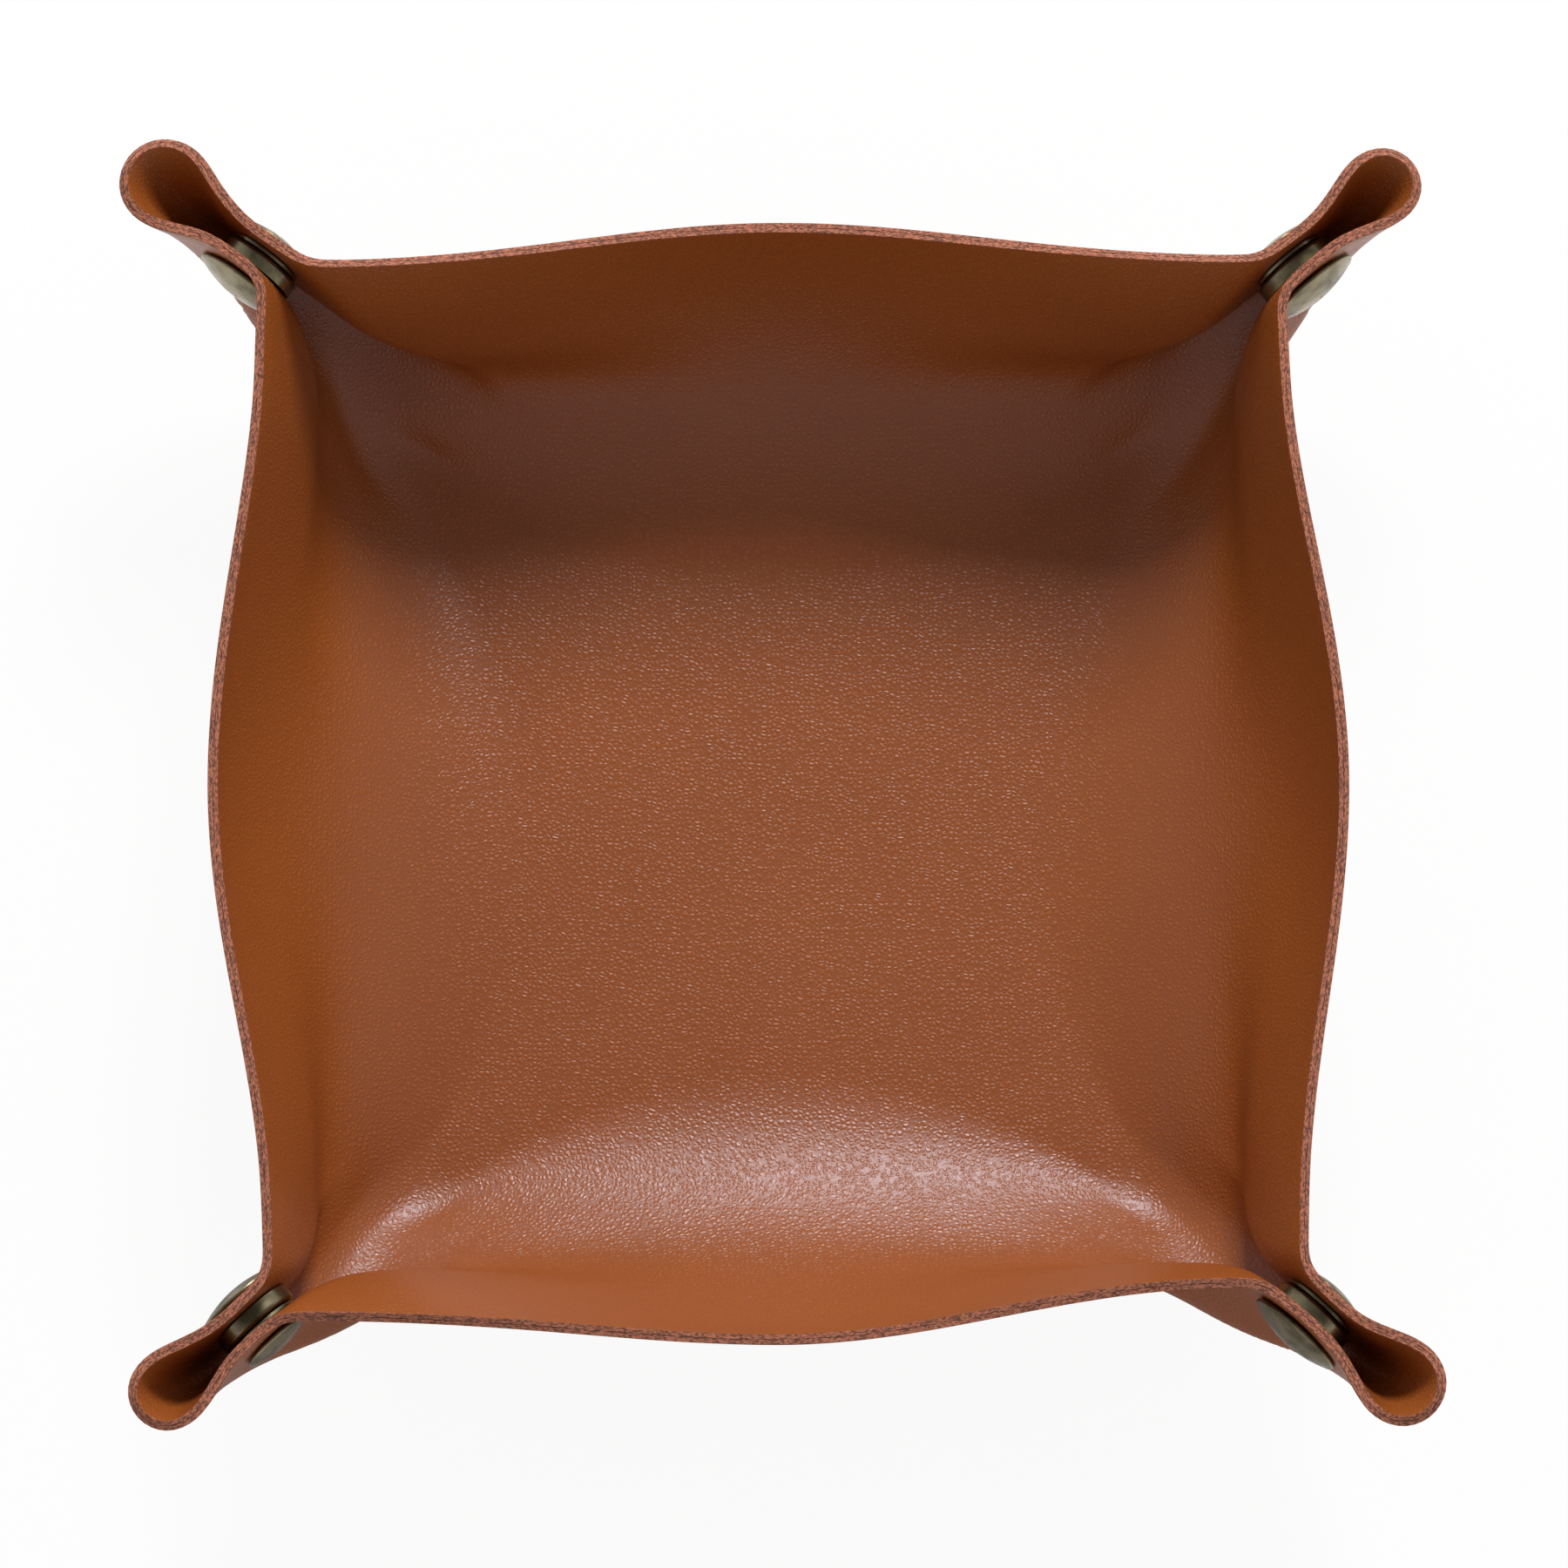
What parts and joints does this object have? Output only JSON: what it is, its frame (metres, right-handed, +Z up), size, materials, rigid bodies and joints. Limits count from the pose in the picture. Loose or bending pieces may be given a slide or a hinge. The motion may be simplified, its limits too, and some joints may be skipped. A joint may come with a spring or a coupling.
{
  "type": "valet tray",
  "caption": "Square catch-all tray of two-ply leather, with walls turned up and corners pinched to ears by ring-spring snaps.",
  "frame": {"origin": "middle of the floor, on the surface that the tray rests on", "axes": "+Z up, +X to the right and +Y to the back as the picture shows the tray"},
  "size_m": [0.1837, 0.1831, 0.043],
  "materials": {
    "lining_leather": "pebbled, satin",
    "underside_leather": "pebbled, satin",
    "antique_brass": "antiqued, polished",
    "spring_wire": "drawn wire"
  },
  "bodies": {
    "root": {"inner_leather": "lining_leather", "outer_leather": "underside_leather", "stud_back_right": "antique_brass", "stud_post_back_right": "antique_brass", "stud_back_left": "antique_brass", "stud_post_back_left": "antique_brass", "stud_front_left": "antique_brass", "stud_post_front_left": "antique_brass", "stud_front_right": "antique_brass", "stud_post_front_right": "antique_brass"},
    "snap_back_right": {"cap_back_right": "antique_brass", "socket_back_right": "antique_brass", "ring_spring_back_right": "spring_wire"},
    "snap_back_left": {"cap_back_left": "antique_brass", "socket_back_left": "antique_brass", "ring_spring_back_left": "spring_wire"},
    "snap_front_left": {"cap_front_left": "antique_brass", "socket_front_left": "antique_brass", "ring_spring_front_left": "spring_wire"},
    "snap_front_right": {"cap_front_right": "antique_brass", "socket_front_right": "antique_brass", "ring_spring_front_right": "spring_wire"}
  },
  "joints": [
    {"name": "unsnap_back_right", "type": "slide", "parent": "root", "child": "snap_back_right", "axis": [0.6266, -0.7793, 0], "range_m": [0, 0.003], "deforming": ["inner_leather", "outer_leather", "ring_spring_back_right"]},
    {"name": "unsnap_back_left", "type": "slide", "parent": "root", "child": "snap_back_left", "axis": [-0.6018, -0.7986, 0], "range_m": [0, 0.003], "deforming": ["inner_leather", "outer_leather", "ring_spring_back_left"]},
    {"name": "unsnap_front_left", "type": "slide", "parent": "root", "child": "snap_front_left", "axis": [-0.6691, 0.7431, 0], "range_m": [0, 0.003], "deforming": ["inner_leather", "outer_leather", "ring_spring_front_left"]},
    {"name": "unsnap_front_right", "type": "slide", "parent": "root", "child": "snap_front_right", "axis": [-0.6782, -0.7349, 0], "range_m": [0, 0.003], "deforming": ["inner_leather", "outer_leather", "ring_spring_front_right"]}
  ]
}
